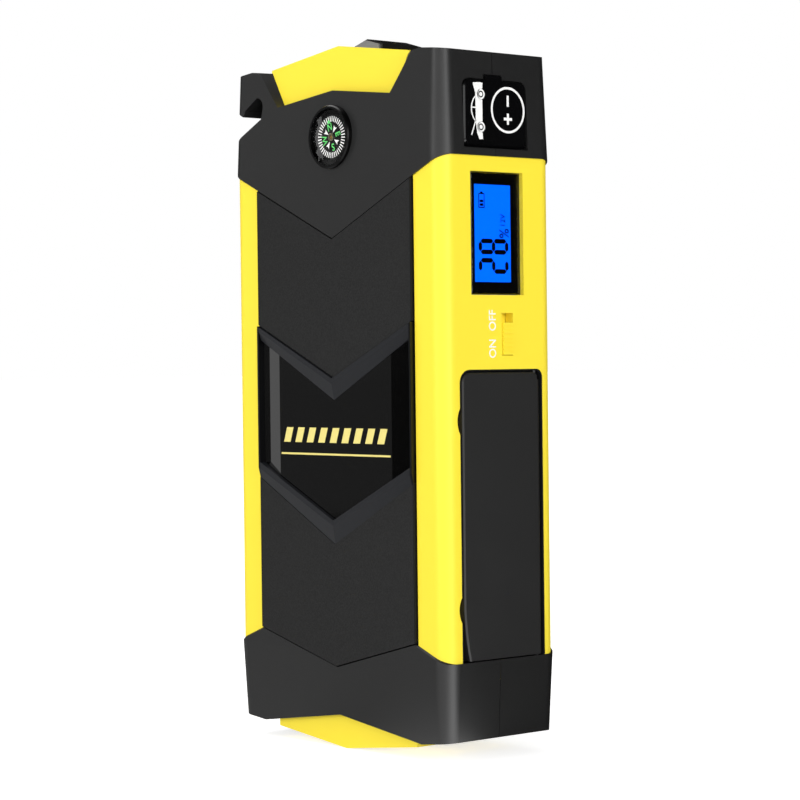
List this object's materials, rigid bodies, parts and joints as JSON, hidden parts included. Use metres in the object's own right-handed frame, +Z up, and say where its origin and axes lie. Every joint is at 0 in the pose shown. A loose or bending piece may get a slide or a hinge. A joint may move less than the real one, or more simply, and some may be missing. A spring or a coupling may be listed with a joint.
{
  "type": "jump starter pack",
  "caption": "Hand-held car jump starter: chevron-banded case, black end caps with a belt-cutter hook, compass, torch, side display, slide switch, port door and socket cover.",
  "frame": {"origin": "on the floor under the middle of the foot, the pack standing upright", "axes": "+Z up along the pack, -Y out of the front with the compass, +X out of the side with the display"},
  "size_m": [0.0791, 0.0381, 0.1713],
  "materials": {
    "housing_yellow": "satin moulded ABS",
    "cap_black": "satin moulded ABS",
    "panel_black": "finely pebbled",
    "band_grey": "satin",
    "window_black": "polished",
    "rubber_black": "semi-gloss moulded rubber",
    "compass_black": "satin",
    "card_black": "printed card",
    "clear": "clear polished acrylic",
    "display_mask": "black mask",
    "display_blue": "backlit liquid crystal",
    "knob_yellow": "satin moulded ABS",
    "tray_black": "moulded ABS",
    "steel": "plated",
    "screw_steel": "blackened",
    "tongue_black": "glass-filled nylon",
    "jack_black": "moulded nylon",
    "gold": "gold plated",
    "button_black": "soft satin",
    "torch_black": "satin",
    "torch_silver": "bright",
    "reflector": "vacuum metallised",
    "lamp": "phosphor under a clear dome",
    "socket_blue": "glass-filled nylon",
    "cell_foil": "laminated foil pouch",
    "foam": "closed-cell foam",
    "copper": "bare copper",
    "board_green": "solder resist",
    "switch_black": "moulded nylon",
    "blade_steel": "ground edge"
  },
  "bodies": {
    "pack": {"front_housing": "housing_yellow", "rear_housing": "housing_yellow", "top_cap_front": "cap_black", "top_cap_rear": "cap_black", "bottom_cap_front": "cap_black", "bottom_cap_rear": "cap_black", "upper_pad": "panel_black", "lower_pad": "panel_black", "rear_pad": "panel_black", "window_frame": "band_grey", "window_plate": "window_black", "case_screws": "screw_steel", "compass_cup": "compass_black", "compass_pin": "gold", "compass_lens": "clear", "display_lens": "clear", "display_bezel": "display_mask", "display_screen": "display_blue", "switch_body": "switch_black", "port_plate": "tray_black", "usb_shells": "steel", "usb_tongues": "tongue_black", "output_jack": "jack_black", "input_jack": "jack_black", "jack_pins": "gold", "jump_socket": "socket_blue", "jump_contacts": "gold", "torch_bezel": "torch_black", "torch_ends": "torch_silver", "torch_lens": "clear", "torch_reflector": "reflector", "torch_leds": "lamp", "cutter_blade": "blade_steel", "battery_cells": "cell_foil", "foam_pads": "foam", "battery_straps": "copper", "circuit_board": "board_green"},
    "door": {"port_door": "rubber_black"},
    "cover": {"socket_cover": "rubber_black"},
    "knob": {"switch_knob": "knob_yellow"},
    "button": {"torch_button": "button_black"},
    "card": {"compass_card": "card_black"}
  },
  "joints": [
    {"name": "switch_slide", "type": "slide", "parent": "pack", "child": "knob", "axis": [0, 0, 1], "range_m": [0, 0.0021]},
    {"name": "port_door_hinge", "type": "hinge", "parent": "pack", "child": "door", "pos_m": [0.0382, 0.0116, 0.057], "axis": [0, 0, 1], "range_deg": [0, 90]},
    {"name": "socket_cover_hinge", "type": "hinge", "parent": "pack", "child": "cover", "pos_m": [0.0384, -0.00075, 0.1433], "axis": [0, 1, 0], "range_deg": [0, 90]},
    {"name": "compass_spin", "type": "hinge", "parent": "pack", "child": "card", "pos_m": [0, -0.01745, 0.147], "axis": [0, 1, 0], "continuous": true},
    {"name": "torch_button_press", "type": "slide", "parent": "pack", "child": "button", "axis": [-1, 0, 0], "range_m": [0, 0.0008], "stiffness_N_per_m": 300, "springref_m": -0.0004}
  ]
}
